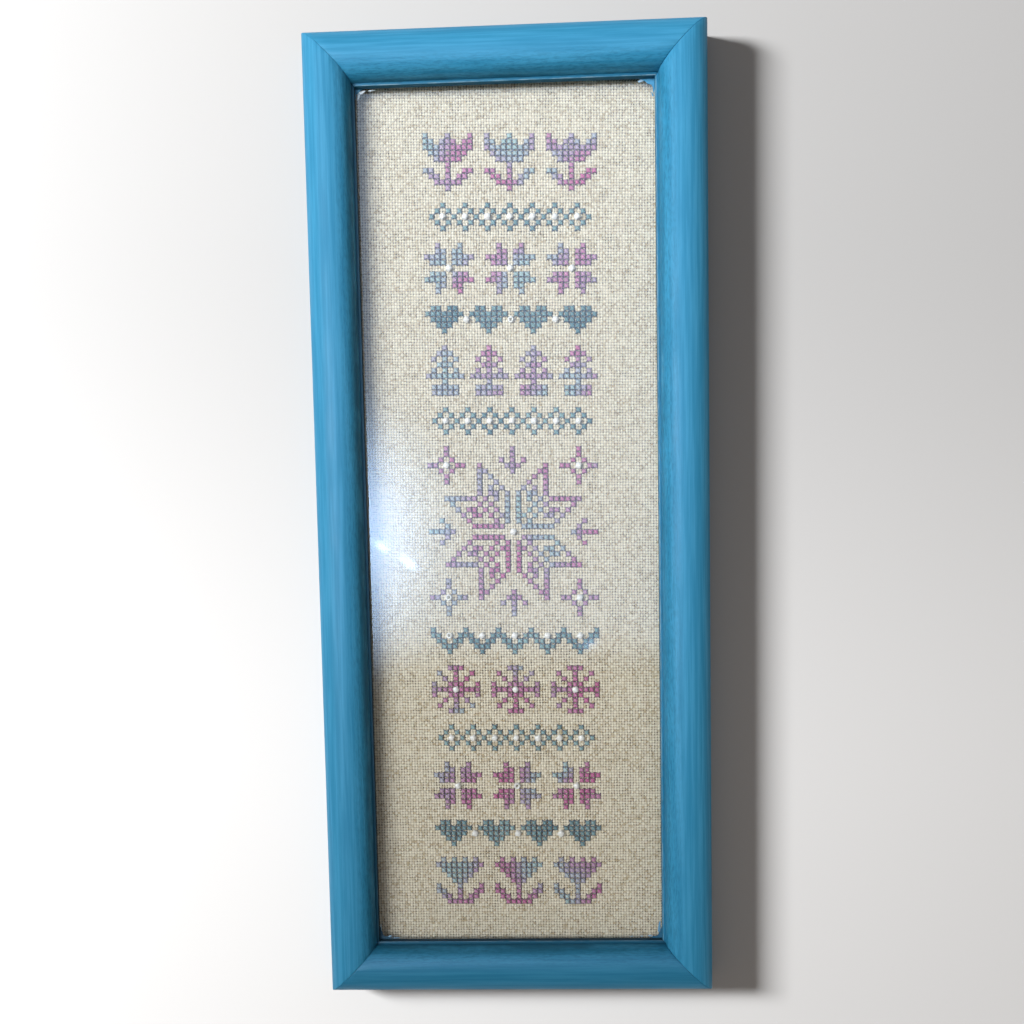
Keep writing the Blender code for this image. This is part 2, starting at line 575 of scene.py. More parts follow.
@dataclass(frozen=True)
class LinenGround:
    """The body of the same linen, seen deep between its threads and under the lip, coloured dark as painted
    shade.
    """

    pitch: float
    # Painted shade: the ground is coloured dark, darkest in the hollows.
    hollow: Colour = linear(62, 56, 44)
    thread: Colour = linear(104, 96, 78)

    def material(self) -> bpy.types.Material:
        """Builds the material, with the weave as a fine pattern, darker in its hollows as painted shade.

        Returns:
            The material.
        """
        sketch = NodeSketch("linen_ground")
        scale = math.pi / self.pitch
        parts = sketch.parts(sketch.place((scale, scale, scale)))
        across = sketch.maths("ABSOLUTE", sketch.maths("SINE", parts["X"]))
        along = sketch.maths("ABSOLUTE", sketch.maths("SINE", parts["Y"]))
        weave = sketch.maths("MULTIPLY", across, along)
        colour = sketch.mix(sketch.span(weave, 0.1, 0.7), self.hollow, self.thread)
        return sketch.finish(Base_Color=colour, Roughness=0.9, Normal=sketch.bump(weave, 0.2 * MM, 0.6))


@dataclass(frozen=True)
class CottonFloss:
    """Stranded cotton embroidery thread, with the run of its dye along the skein."""

    name: str
    dye: list[tuple[float, Colour]] = field(default_factory=list)
    # Painted shade, multiplied into the dye between the strands and at each arm's ends and sides.
    shade: Colour = (0.20, 0.15, 0.21)

    def edges(self, sketch: NodeSketch, strands: bpy.types.NodeSocket) -> bpy.types.NodeSocket:
        """Finds the ends and sides of each arm, where the thread goes down into the cloth and painted shade
        darkens it.

        Args:
            sketch: The material's sketch.
            strands: The map along the strands, from 0 to 3, and round them.

        Returns:
            How near to its edge a point is.
        """
        parts = sketch.parts(strands)
        from_middle = sketch.maths("ABSOLUTE", sketch.maths("SUBTRACT", parts["X"], 1.5))
        to_side = sketch.maths("COSINE", sketch.maths("MULTIPLY", parts["Y"], math.pi))
        to_side = sketch.maths("MULTIPLY", sketch.maths("ABSOLUTE", to_side), 0.55)
        return sketch.maths("ADD", from_middle, to_side)

    def material(self) -> bpy.types.Material:
        """Builds the material, which reads each stitch's place on the skein and its own strands.

        Returns:
            The material.
        """
        sketch = NodeSketch(self.name)
        colour = sketch.ramp(sketch.attribute("dye"), self.dye)
        deep = sketch.mix(1.0, colour, self.shade, "MULTIPLY")
        place = sketch.node("UVMap", uv_map="strands").outputs["UV"]
        strands = sketch.node("TexWave", {
            "Vector": place, "Scale": 1.6, "Distortion": 1.2, "Detail": 2.0, "Detail Scale": 1.5,
        }, bands_direction="DIAGONAL").outputs["Fac"]
        # Painted shade between the strands, and at each arm's ends and sides.
        colour = sketch.mix(sketch.span(strands, 0.0, 0.6, 0.2, 0.0), colour, deep)
        colour = sketch.mix(sketch.span(self.edges(sketch, place), 0.88, 1.34, 0.0, 0.97), colour, deep)
        return sketch.finish(Base_Color=colour, Roughness=0.6, Sheen_Weight=0.25,
                             Normal=sketch.bump(strands, 0.08 * MM, 0.6))


@dataclass(frozen=True)
class PearlGlass:
    """Opaque white glass with a pearly coat, for the seed beads."""

    colour: Colour = linear(238, 238, 232)

    def material(self) -> bpy.types.Material:
        """Builds the material, faintly mottled.

        Returns:
            The material.
        """
        sketch = NodeSketch("pearl_glass")
        mottle = sketch.noise(sketch.place(), 700.0, 2.0)
        colour = sketch.mix(sketch.span(mottle, 0.3, 0.7, 0.0, 0.3), self.colour, linear(212, 220, 224))
        return sketch.finish(Base_Color=colour, Roughness=0.22, Coat_Weight=0.8, Coat_Roughness=0.08)


@dataclass(frozen=True)
class GreyCard:
    """Plain grey-brown backing card."""

    colour: Colour = linear(176, 162, 140)

    def material(self) -> bpy.types.Material:
        """Builds the material, with the pulp's fine specks.

        Returns:
            The material.
        """
        sketch = NodeSketch("backing_card")
        pulp = sketch.noise(sketch.place(), 900.0, 5.0, 0.7)
        specks = sketch.noise(sketch.place((1, 3, 1)), 3200.0, 1.0)
        colour = sketch.mix(sketch.span(pulp, 0.35, 0.7, 0.0, 0.5), self.colour, linear(146, 130, 108))
        colour = sketch.mix(sketch.span(specks, 0.66, 0.72, 0.0, 0.5), colour, linear(96, 84, 68))
        return sketch.finish(Base_Color=colour, Roughness=0.9, Normal=sketch.bump(pulp, 0.05 * MM, 0.3))


@dataclass
class Moulding:
    """The frame: four mitred lengths of a domed moulding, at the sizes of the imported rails."""

    half_width: float
    half_length: float
    width: float
    crown: float
    shoulder: float = 7.4 * MM
    dome_inner: float = 8.6 * MM
    lip_width: float = 0.9 * MM
    lip_step: float = 0.5 * MM
    lip_underside: float = 6.3 * MM
    rebate: float = 5.5 * MM
    softening: float = 0.25 * MM
    mitre_gap: float = 0.06 * MM
    mitre_round: float = 0.16 * MM
    dome_steps: int = 44
    run_step: float = 5.0 * MM

    def section(self) -> list[tuple[float, float]]:
        """Draws the moulding's outline.

        Returns:
            Its points as (inward, height), clockwise from the foot of the outer wall.
        """
        half_dome = (self.width - self.lip_width) / 2
        middle = (self.shoulder + self.dome_inner) / 2
        points = [(0.0, 0.0), (0.0, self.shoulder / 2)]
        for step in range(self.dome_steps + 1):
            angle = math.pi * step / self.dome_steps
            inward = half_dome * (1 - math.cos(angle))
            chord = self.shoulder + (self.dome_inner - self.shoulder) * inward / (2 * half_dome)
            points.append((inward, chord + (self.crown - middle) * math.sin(angle)))
        lip_top = self.dome_inner - self.lip_step
        back_edge = self.width - self.rebate
        eased = self.softening * 0.3
        points += [
            (self.width - self.lip_width, lip_top),
            (self.width - self.softening, lip_top),
            (self.width - eased, lip_top - eased),
            (self.width, lip_top - self.softening),
            (self.width, self.lip_underside),
            (back_edge, self.lip_underside),
            (back_edge, 0.0),
        ]
        return points

    def model_rail(self, side: Side) -> bpy.types.Object:
        """Models one rail: the section run along its side and cut at both mitres.

        Args:
            side: The side of the frame that the rail is for.

        Returns:
            The rail, at the origin with its place in its mesh.
        """
        upright = side in (Side.RIGHT, Side.LEFT)
        reach = self.half_width if upright else self.half_length
        half_run = self.half_length if upright else self.half_width
        section = self.section()
        deselect()
        bpy.ops.mesh.primitive_circle_add(vertices=len(section), radius=self.width, fill_type="NGON")
        rail = bpy.context.object
        rail.name = "painted_" + side.rail
        for vertex, (inward, height) in zip(rail.data.vertices, section):
            vertex.co = (reach - inward, -half_run, height)
        steps = round(2 * half_run / self.run_step)
        with edit_mode():
            for _ in range(steps):
                bpy.ops.mesh.extrude_region_move(
                    TRANSFORM_OT_translate={"value": (0, 2 * half_run / steps, 0)})
            for end in (1, -1):
                bpy.ops.mesh.select_all(action="SELECT")
                bpy.ops.mesh.bisect(
                    plane_co=(reach, end * (half_run - self.mitre_gap * math.sqrt(0.5)), 0),
                    plane_no=(-1, end, 0), clear_outer=True, use_fill=True)
                bpy.ops.mesh.bevel(offset=self.mitre_round, segments=2, affect="EDGES", clamp_overlap=True)
            bpy.ops.mesh.select_all(action="SELECT")
            bpy.ops.mesh.remove_doubles(threshold=0.001 * MM)
            face_outwards()
        points = points_of(rail.data)
        store(rail.data, "rail_place", np.stack(
            [points[:, 1] + side.value, reach - points[:, 0], points[:, 2]], axis=1))
        coat = COATS[side]
        store(rail.data, "coat", np.tile([coat.pooling_and_shade, coat.wear_and_glint, coat.depth], (len(points), 1)))
        rail.data.transform(side.turn)
        only(rail)
        bpy.ops.object.shade_smooth_by_angle(angle=math.radians(32))
        return rail

    def dress(self, rail: bpy.types.Object, side: Side) -> None:
        """Paints the rail, and leaves its flat back bare.

        Args:
            rail: The rail.
            side: The side of the frame that it is on.
        """
        rail.data.materials.append(BrushedPaint().material())
        rail.data.materials.append(BareWood().material())
        for face in rail.data.polygons:
            face.material_index = int(face.normal.z < -0.7 and face.center.z < self.lip_underside / 2)
        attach(rail, "root")
        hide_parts(side.rail)

    def build(self) -> None:
        """Makes all four rails."""
        for side in Side:
            rail = self.model_rail(side)
            self.dress(rail, side)
            report(rail)


@dataclass
class Cloth:
    """The linen: its thread pitch, and how it lies a little askew behind the glass."""

    pitch: float = 25.4 * MM / 28
    centre: tuple[float, float] = (0.0, -1.5 * MM)
    half_reach: float = 128 * MM
    drift: float = 1.5 * MM
    drift_start: float = -0.2 * MM
    slope_start: float = -0.007
    slope_gain: float = -0.027

    def laid(self, across: np.ndarray, up: np.ndarray) -> tuple[np.ndarray, np.ndarray]:
        """Where points of the flat cloth lie in the frame.

        Args:
            across: How far right of the middle of the stitching each point is.
            up: How far above it.

        Returns:
            Their X and Y.
        """
        share = np.clip((up + self.half_reach) / (2 * self.half_reach), -0.1, 1.1)
        x = self.centre[0] + across + self.drift_start + self.drift * share**2
        y = self.centre[1] + up + across * (self.slope_start + self.slope_gain * share)
        return x, y


@dataclass(frozen=True)
class Swell:
    """One unevenness of yarn: how strong it is, and how long its waves are."""

    amount: float
    length: float


@dataclass
class YarnPoints:
    """Points of some threads: each one's thread, its place along and across it, and its crossing's nub."""

    number: np.ndarray
    along: np.ndarray
    side: np.ndarray
    nub: np.ndarray
    seed: int

    def waves(self, swell: Swell, pattern: int) -> np.ndarray:
        """One unevenness at every point, with the pattern picked by a number."""
        return swell.amount * ripple(self.along, self.number, swell.length, self.seed + pattern)


@dataclass
class Weave:
    """The linen's threads, each woven over and under the others, on a thin ground of the same cloth.

    Swells of width and wander are shares of a thread's width and of the pitch. A nub is what sets one
    crossing of a thread apart from the next, and a slub is a thick place that comes now and then.
    """

    cloth: Cloth
    size: tuple[float, float]
    top: float
    warp_count: int = 112
    weft_count: int = 316
    rise: float = 0.16 * MM
    crest: float = 0.04 * MM
    yarn_width: float = 0.74
    yarn_round: float = 0.24 * MM
    warp_lead: float = 0.04 * MM
    short_swell: Swell = Swell(0.16, 8 * MM)
    long_swell: Swell = Swell(0.15, 70 * MM)
    slub: Swell = Swell(1.0, 26 * MM)
    slub_floor: float = 0.68
    slub_width: float = 0.9
    wander: Swell = Swell(0.10, 5 * MM)
    lift_swell: Swell = Swell(0.2, 3 * MM)
    long_tone: Swell = Swell(0.20, 40 * MM)
    short_tone: Swell = Swell(0.3, 3 * MM)
    nub_width: float = 0.07
    nub_lift: float = 0.08
    nub_tone: float = 0.30
    warp_tone: float = 0.90
    weft_tone: float = 0.74
    side_shade: float = 0.55
    dip_shade: float = 0.75
    ground_thickness: float = 0.45 * MM
    ground_swell: float = 0.04 * MM
    seed: int = 11
    weft_seed: int = 50

    @property
    def level(self) -> float:
        """The height of the middle of the weave."""
        return self.top - self.rise + self.crest

    def count_of(self, kind: ThreadSet) -> int:
        """How many threads a set has."""
        return self.warp_count if kind is ThreadSet.WARP else self.weft_count

    def flat_ribbons(self, threads: int, crossings: int, name: str) -> bpy.types.Object:
        """Models straight ribbons, ridged along the middle, with two lengths to a crossing.

        Args:
            threads: How many ribbons lie side by side.
            crossings: How many threads of the other set each one crosses.
            name: The name of the piece.

        Returns:
            The ribbons, running along Y from Y = 0, the first one centred half a pitch from X = 0.
        """
        pitch = self.cloth.pitch
        deselect()
        bpy.ops.mesh.primitive_grid_add(x_subdivisions=2, y_subdivisions=2, size=1)
        cell = bpy.context.object
        cell.name = name
        with edit_mode():
            bpy.ops.transform.resize(value=(self.yarn_width * pitch, pitch, 1))
            bpy.ops.transform.translate(value=(pitch / 2, pitch / 2, 0))
        apply_modifier(cell, "ARRAY", count=crossings, use_relative_offset=False, use_constant_offset=True,
                       constant_offset_displace=(0, pitch, 0), use_merge_vertices=True,
                       merge_threshold=0.00001)
        apply_modifier(cell, "ARRAY", count=threads, use_relative_offset=False, use_constant_offset=True,
                       constant_offset_displace=(pitch, 0, 0))
        return cell

    def read_yarn(self, points: np.ndarray, kind: ThreadSet, first: int, count: int) -> YarnPoints:
        """Reads off straight ribbons which thread each point is on, and where on it.

        Args:
            points: The ribbons' points.
            kind: Which set they belong to.
            first: The number of the first of them.
            count: How many there are.

        Returns:
            The points, by thread.
        """
        pitch, crossings = self.cloth.pitch, self.count_of(kind.other)
        line = np.clip(np.floor(points[:, 0] / pitch), 0, count - 1).astype(int)
        side = (points[:, 0] - (line + 0.5) * pitch) / (self.yarn_width * pitch / 2)
        crossing = np.clip(np.floor(points[:, 1] / pitch), 0, crossings - 1).astype(int)
        seed = self.seed + (0 if kind is ThreadSet.WARP else self.weft_seed)
        nubs = np.random.RandomState(seed + first).normal(0, 1, (count, crossings))
        return YarnPoints(line + first, points[:, 1], side, nubs[line, crossing], seed)

    def thickness(self, yarn: YarnPoints) -> np.ndarray:
        """Works out the yarn's swells, nubs and slubs.

        Args:
            yarn: The yarn's points.

        Returns:
            How thick it is at each point, as a share of its usual thickness.
        """
        slubs = self.slub_width * np.clip(yarn.waves(self.slub, 2) - self.slub_floor, 0, 1)
        swells = yarn.waves(self.short_swell, 0) + yarn.waves(self.long_swell, 1)
        return 1 + swells + self.nub_width * yarn.nub + slubs

    def lift(self, yarn: YarnPoints, kind: ThreadSet) -> np.ndarray:
        """Bends the yarn over and under the threads that it crosses.

        Args:
            yarn: The yarn's points.
            kind: The set that it belongs to.

        Returns:
            How far above the middle of the weave each point is.
        """
        start = np.where(yarn.number % 2 == 0, kind.way, -kind.way)
        bend = self.rise * start * np.sin(math.pi * yarn.along / self.cloth.pitch)
        bend *= 1 + yarn.waves(self.lift_swell, 4) + self.nub_lift * yarn.nub
        return bend + kind.way * self.warp_lead / 2

    def shade(self, piece: bpy.types.Object, yarn: YarnPoints, lift: np.ndarray, kind: ThreadSet) -> None:
        """Keeps how pale the yarn is at each point, and how much painted shade darkens it at its sides and
        where it dips under.

        Args:
            piece: The threads.
            yarn: Their points.
            lift: How far above the middle of the weave each point is.
            kind: The set that they belong to.
        """
        tone = self.warp_tone if kind is ThreadSet.WARP else self.weft_tone
        tone = tone + self.nub_tone * yarn.nub
        tone = tone + yarn.waves(self.long_tone, 5) + yarn.waves(self.short_tone, 6)
        store(piece.data, "tone", np.clip(tone, 0, 1))
        tucked = self.side_shade * yarn.side**2 + self.dip_shade * (1 - np.clip(lift / self.rise, 0, 1))
        store(piece.data, "tucked", np.clip(tucked, 0, 1))

    def weave_threads(self, kind: ThreadSet, first: int, count: int, name: str) -> bpy.types.Object:
        """Makes some threads of one set: bends each over and under, and makes it uneven.

        Args:
            kind: Which set they belong to.
            first: The number of the first of them, from the left or from the bottom.
            count: How many there are.
            name: The name of the piece.

        Returns:
            The piece.
        """
        pitch, crossings = self.cloth.pitch, self.count_of(kind.other)
        piece = self.flat_ribbons(count, crossings, name)
        yarn = self.read_yarn(points_of(piece.data), kind, first, count)
        thick, lift = self.thickness(yarn), self.lift(yarn, kind)
        height = self.level + lift - self.yarn_round * np.abs(yarn.side) * thick
        middle = (yarn.number + 0.5 - self.count_of(kind) / 2) * pitch
        across = middle + pitch * yarn.waves(self.wander, 3) + yarn.side * thick * self.yarn_width * pitch / 2
        up = yarn.along - crossings * pitch / 2
        if kind is ThreadSet.WEFT:
            across, up = up, across
        x, y = self.cloth.laid(across, up)
        set_points(piece.data, np.stack([x, y, height], axis=1))
        self.shade(piece, yarn, lift, kind)
        only(piece)
        if kind is ThreadSet.WEFT:
            with edit_mode():
                bpy.ops.mesh.flip_normals()
        bpy.ops.object.shade_smooth()
        piece.data.materials.append(LinenThread().material(kind))
        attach(piece, "root")
        report(piece)
        return piece

    def build_ground(self) -> bpy.types.Object:
        """Makes the sheet that the threads lie in, which also reaches under the lip.

        Returns:
            The sheet.
        """
        width, length = self.size
        deselect()
        bpy.ops.mesh.primitive_grid_add(x_subdivisions=40, y_subdivisions=110, size=1)
        ground = bpy.context.object
        ground.name = "linen_ground"
        points = points_of(ground.data)
        surface = self.level - self.rise - self.yarn_round
        swell = self.ground_swell * np.sin(points[:, 0] * 19) * np.cos(points[:, 1] * 31)
        points = np.stack([points[:, 0] * width, points[:, 1] * length, surface + swell], axis=1)
        set_points(ground.data, points)
        apply_modifier(ground, "SOLIDIFY", thickness=self.ground_thickness, offset=-1.0)
        bpy.ops.object.shade_smooth_by_angle(angle=math.radians(40))
        ground.data.materials.append(LinenGround(self.cloth.pitch).material())
        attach(ground, "root")
        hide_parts("stitched_linen")
        report(ground)
        return ground

    def build(self) -> tuple[bpy.types.Object, list[bpy.types.Object]]:
        """Makes the ground and the woven threads, each set in two halves.

        Returns:
            The ground sheet, and the threads on it.
        """
        half_warp, half_weft = self.warp_count // 2, self.weft_count // 2
        threads = [
            self.weave_threads(ThreadSet.WARP, 0, half_warp, "linen_warp_left"),
            self.weave_threads(ThreadSet.WARP, half_warp, half_warp, "linen_warp_right"),
            self.weave_threads(ThreadSet.WEFT, 0, half_weft, "linen_weft_lower"),
            self.weave_threads(ThreadSet.WEFT, half_weft, half_weft, "linen_weft_upper"),
        ]
        return self.build_ground(), threads


MOTIFS: dict[str, tuple[str, ...]] = {
    "tulip": (
        "x...x...x",
        "xx.xxx.xx",
        "xxxxxxxxx",
        ".xxxxxxx.",
        "..xxxxx..",
        "....x....",
        "xx..x..xx",
        ".xx.x.xx.",
        "..xxxxx..",
        "....x....",
    ),
    "carnation": (
        ".x.x.x.x.",
        "xxxxxxxxx",
        ".xxxxxxx.",
        "..xxxxx..",
        "...xxx...",
        "x...x...x",
        "xx..x..xx",
        ".xx.x.xx.",
        "..xxxxx..",
    ),
    "small_star": (
        "..x...x..",
        "..xx.xx..",
        "xxxx.xxxx",
        ".xxx.xxx.",
        "....o....",
        ".xxx.xxx.",
        "xxxx.xxxx",
        "..xx.xx..",
        "..x...x..",
    ),
    "fir_tree": (
        "...x...",
        "..xxx..",
        ".x.x.x.",
        "..xxx..",
        ".x.x.x.",
        "xxxxxxx",
        "...x...",
        ".xxxxx.",
        ".xxxxx.",
    ),
    "snowflake": (
        "...xxx...",
        ".x..x..x.",
        "..x.x.x..",
        "x..xxx..x",
        "xxxxoxxxx",
        "x..xxx..x",
        "..x.x.x..",
        ".x..x..x.",
        "...xxx...",
    ),
    "heart": (
        ".tt.tt.",
        "ttttttt",
        ".ttttt.",
        "..ttt..",
        "...t...",
    ),
    "heart_bead": (
        "o",
    ),
    "lattice_bead": (
        "..t.",
        ".t.t",
        "t.o.",
        ".t.t",
        "..t.",
    ),
    "teal_stitch": (
        "t",
    ),
    "zigzag": (
        "t.....",
        "tt.o.t",
        ".tt.tt",
        "..ttt.",
        "...t..",
    ),
    "zigzag_end": (
        "t",
        "t",
    ),
}


def star_letter(row: int, column: int, petal: int, corner: int) -> str:
    """Picks the chart's letter at one place of the star.

    Args:
        row: How far the place is above or below the star's middle, in stitches.
        column: How far it is to the side.
        petal: How many stitches each petal's sides are.
        corner: How far out and up from the middle the corner sprigs' beads are.

    Returns:
        The letter of a stitch or a bead, or a dot where there is none.
    """
    far, near = max(abs(row), abs(column)), min(abs(row), abs(column))
    slant = far - near
    from_bead = sorted((abs(abs(row) - corner), abs(abs(column) - corner)))
    if from_bead == [0, 0] or far == 0:
        return "o"
    if 1 <= near <= petal and 1 <= slant <= petal:
        outline = near in (1, petal) or slant in (1, petal)
        core = near in (3, 4) and slant in (3, 4)
        return "x" if outline or core else "."
    sprig = near >= corner - 3 and (sum(from_bead) == 2 or from_bead == [0, 3])
    leaf = near <= 2 and far >= corner - 3 and slant == corner - 1
    stem = near == 0 and far >= corner - 1
    return "x" if sprig or leaf or stem else "."


def great_star(reach: int = 15, petal: int = 6, corner: int = 12) -> tuple[str, ...]:
    """Charts the traditional eight-petalled star in outline, with a beaded sprig in each corner.

    Args:
        reach: How many stitches it has from its middle to its edge.
        petal: How many stitches each petal's sides are.
        corner: How far out and up from the middle the corner sprigs' beads are.

    Returns:
        The chart, a string to a row.
    """
    steps = range(-reach, reach + 1)
    return tuple("".join(star_letter(row, column, petal, corner) for column in steps) for row in steps)


@dataclass(frozen=True)
class Band:
    """One band of the sampler: a motif repeated along a row of the chart."""

    row: int
    motif: str
    columns: tuple[int, ...]


BANDS: tuple[Band, ...] = (
    Band(0, "tulip", (0, 11, 22)),
    Band(12, "lattice_bead", tuple(range(1, 28, 4))),
    Band(14, "teal_stitch", (29,)),
    Band(19, "small_star", (0, 11, 22)),
    Band(30, "heart", (0, 8, 16, 24)),
    Band(32, "heart_bead", (7, 15, 23)),
    Band(37, "fir_tree", (0, 8, 16, 24)),
    Band(48, "lattice_bead", tuple(range(1, 28, 4))),
    Band(50, "teal_stitch", (29,)),
    Band(55, "great_star", (0,)),
    Band(88, "zigzag", tuple(range(0, 30, 6))),
    Band(88, "zigzag_end", (30,)),
    Band(95, "snowflake", (0, 11, 22)),
    Band(106, "lattice_bead", tuple(range(1, 28, 4))),
    Band(108, "teal_stitch", (29,)),
    Band(113, "small_star", (0, 11, 22)),
    Band(124, "heart", (0, 8, 16, 24)),
    Band(126, "heart_bead", (7, 15, 23)),
    Band(131, "carnation", (0, 11, 22)),
)


@dataclass
class Embroidery:
    """The counted stitches and the beads, worked over two threads of the linen.

    The hand's unevenness is given as the spread of each stitch's turns about X, Y and Z, and of its size.
    """

    cloth: Cloth
    level: float
    columns: int = 31
    rows: int = 140
    strand_width: float = 0.98 * MM
    strand_height: float = 0.30 * MM
    strand_sides: int = 6
    stations: tuple[float, ...] = (0.0, 0.1, 0.27, 0.5, 0.73, 0.9, 1.0)
    arm_reach: float = 0.96
    fullness: float = 0.62
    arch: float = 0.24 * MM
    dive: float = 0.30 * MM
    dive_share: float = 0.1
    crossing_lift: float = 0.15 * MM
    hand_turns: Triple = (0.03, 0.03, 0.06)
    hand_size: float = 0.045
    bead_width: float = 2.2 * MM
    bead_length: float = 1.9 * MM
    bead_hole: float = 0.8 * MM
    bead_lift: float = 0.16 * MM
    beads_upright: float = 0.14
    seed: int = 5

    @property
    def stitch(self) -> float:
        """The side of the square that one stitch fills."""
        return 2 * self.cloth.pitch

    def charted(self) -> dict[str, list[tuple[int, int]]]:
        """Reads the bands off the chart.

        Returns:
            The (column, row) places of each letter.
        """
        motifs = dict(MOTIFS, great_star=great_star())
        places: dict[str, list[tuple[int, int]]] = {"x": [], "t": [], "o": []}
        for band in BANDS:
            for start in band.columns:
                for down, line in enumerate(motifs[band.motif]):
                    for across, letter in enumerate(line):
                        if letter in places:
                            places[letter].append((start + across, band.row + down))
        return {letter: sorted(set(found)) for letter, found in places.items()}

    def model_arm(self, lift: float, angle: float) -> bpy.types.Object:
        """Models one arm of a cross: a flattened thread that arches from hole to hole.

        Args:
            lift: How much higher the arm's middle passes than its arch alone.
            angle: Its direction, in radians from X.

        Returns:
            The arm, closed at both ends.
        """
        length = self.stitch * math.sqrt(2) * self.arm_reach
        deselect()
        bpy.ops.mesh.primitive_circle_add(vertices=self.strand_sides, radius=0.5, fill_type="NGON",
                                          rotation=(0, math.radians(90), 0))
        arm = bpy.context.object
        bpy.ops.object.transform_apply(location=True, rotation=True, scale=True)
        with edit_mode():
            for before, after in zip(self.stations, self.stations[1:]):
                bpy.ops.mesh.extrude_region_move(TRANSFORM_OT_translate={"value": (after - before, 0, 0)})
            face_outwards()
        points = points_of(arm.data)
        share = points[:, 0]
        self.map_strands(arm, share)
        bulge = np.sin(math.pi * np.clip(share, 0.05, 0.95)) ** self.fullness
        middle = np.sin(math.pi * share)
        into_hole = 1 - np.clip(np.minimum(share, 1 - share) / self.dive_share, 0, 1)
        across = points[:, 1] * self.strand_width * bulge
        up = (points[:, 2] * self.strand_height * bulge + self.arch * middle**0.6 + lift * middle**3
              - self.dive * into_hole)
        set_points(arm.data, np.stack([(share - 0.5) * length, across, up], axis=1))
        arm.data.transform(Matrix.Rotation(angle, 4, "Z"))
        only(arm)
        bpy.ops.object.shade_smooth()
        return arm

    def map_strands(self, arm: bpy.types.Object, share: np.ndarray) -> None:
        """Gives an arm a map that runs along its strands in U and round it in V.

        Args:
            arm: The straight arm, before it is bent.
            share: How far along it each vertex is, from 0 to 1.
        """
        layer = arm.data.uv_layers.new(name="strands")
        for loop, spot in zip(arm.data.loops, layer.uv):
            point = arm.data.vertices[loop.vertex_index].co
            spot.vector = (share[loop.vertex_index] * 3, math.atan2(point.z, point.y) / math.pi)
        for other in [name for name in arm.data.uv_layers.keys() if name != "strands"]:
            arm.data.uv_layers.remove(arm.data.uv_layers[other])

    def model_cross(self) -> bpy.types.Object:
        """Models one cross stitch, with its second arm over its first."""
        under = self.model_arm(0.0, math.radians(45))
        return join([under, self.model_arm(self.crossing_lift, math.radians(-45))], "cross_stitch")

    def model_bead(self) -> bpy.types.Object:
        """Models one seed bead, with its hole along Z.

        Returns:
            The bead.
        """
        ring = (self.bead_width + self.bead_hole) / 4
        tube = (self.bead_width - self.bead_hole) / 4
        deselect()
        bpy.ops.mesh.primitive_torus_add(major_segments=14, minor_segments=9, major_radius=ring,
                                         minor_radius=tube)
        bead = bpy.context.object
        bead.data.transform(Matrix.Diagonal((1, 1, self.bead_length / (2 * tube), 1)))
        bpy.ops.object.shade_smooth()
        return bead

    def strew(self, pattern: bpy.types.Object, name: str, places: np.ndarray, turns: np.ndarray,
              sizes: np.ndarray, dye: np.ndarray) -> bpy.types.Object:
        """Copies a modelled piece to many places, as one mesh.

        Args:
            pattern: The piece to copy, which is then removed.
            name: The name of the joined piece.
            places: A row of X, Y and Z for each copy.
            turns: A row of rotations about X, Y and Z for each.
            sizes: A row of scales for each.
            dye: A number for each, kept for the material.

        Returns:
            The joined piece.
        """
        mesh = bpy.data.meshes.new(name)
        mesh.from_pydata(places.tolist(), [], [])
        for label, values in (("turn", turns), ("swell", sizes), ("dye", dye)):
            store(mesh, label, values)
        spots = bpy.data.objects.new(name, mesh)
        bpy.context.scene.collection.objects.link(spots)
        group = bpy.data.node_groups.new(name + "_copies", "GeometryNodeTree")
        group.interface.new_socket("Geometry", in_out="INPUT", socket_type="NodeSocketGeometry")
        group.interface.new_socket("Geometry", in_out="OUTPUT", socket_type="NodeSocketGeometry")
        nodes, link = group.nodes, group.links.new
        start, end = nodes.new("NodeGroupInput"), nodes.new("NodeGroupOutput")
        copies, real = nodes.new("GeometryNodeInstanceOnPoints"), nodes.new("GeometryNodeRealizeInstances")
        source = nodes.new("GeometryNodeObjectInfo")
        source.inputs["Object"].default_value = pattern
        link(start.outputs[0], copies.inputs["Points"])
        link(source.outputs["Geometry"], copies.inputs["Instance"])
        for label, socket in (("turn", "Rotation"), ("swell", "Scale")):
            reader = nodes.new("GeometryNodeInputNamedAttribute")
            reader.data_type = "FLOAT_VECTOR"
            reader.inputs["Name"].default_value = label
            link(reader.outputs["Attribute"], copies.inputs[socket])
        link(copies.outputs["Instances"], real.inputs["Geometry"])
        link(real.outputs["Geometry"], end.inputs[0])
        apply_modifier(spots, "NODES", node_group=group)
        for label in ("turn", "swell"):
            spots.data.attributes.remove(spots.data.attributes[label])
        bpy.data.objects.remove(pattern, do_unlink=True)
        bpy.data.node_groups.remove(group)
        return spots

    def places_of(self, cells: list[tuple[int, int]], height: float) -> np.ndarray:
        """Finds the middles of some squares of the chart, on the cloth as it lies.

        Args:
            cells: The squares, as columns and rows.
            height: The height of the places.

        Returns:
            A row of X, Y and Z for each.
        """
        spots = np.array(cells, float)
        across = (spots[:, 0] + 0.5 - self.columns / 2) * self.stitch
        up = (self.rows / 2 - spots[:, 1] - 0.5) * self.stitch
        x, y = self.cloth.laid(across, up)
        return np.stack([x, y, np.full(len(x), height)], axis=1)

